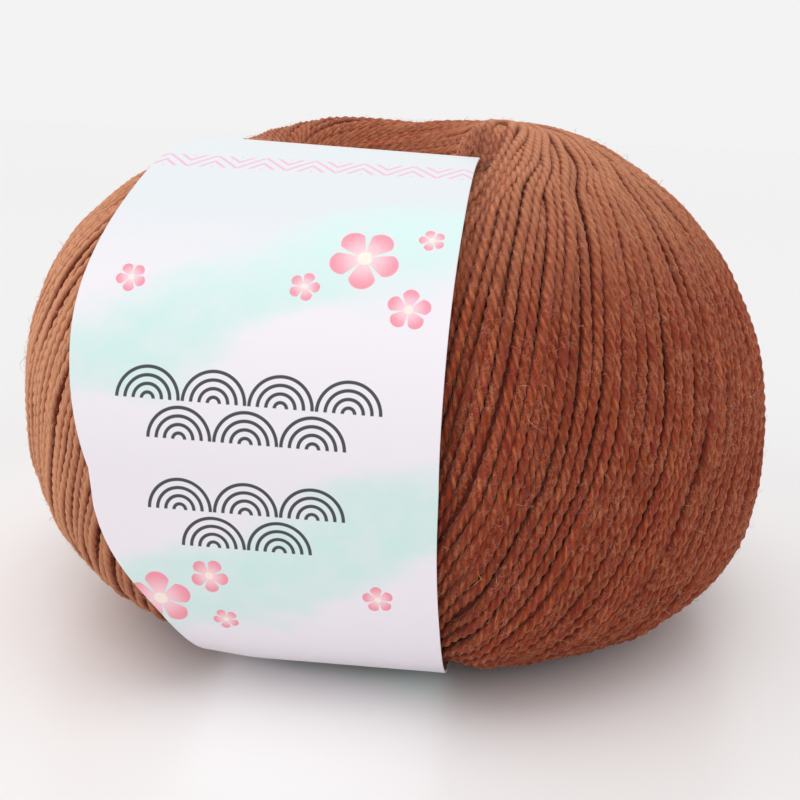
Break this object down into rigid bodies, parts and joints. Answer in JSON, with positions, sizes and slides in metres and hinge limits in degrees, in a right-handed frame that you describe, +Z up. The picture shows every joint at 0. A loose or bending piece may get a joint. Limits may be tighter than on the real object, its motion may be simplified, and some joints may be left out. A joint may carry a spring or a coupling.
{
  "type": "ball of yarn with a paper band",
  "caption": "Machine-wound doughnut ball of plied wool yarn with a narrow eye, held by a paper band threaded through the eye and round the front",
  "frame": {"origin": "on the floor under the middle of the ball", "axes": "+Z is up along the eye of the ball, -Y is towards the printed face of the band, +X is to the right of it"},
  "size_m": [0.0886, 0.0873, 0.0571],
  "materials": {
    "wool": "fuzzy",
    "paper": "satin"
  },
  "bodies": {
    "root": {"yarn_ball": "wool", "paper_band": "paper"}
  },
  "joints": []
}
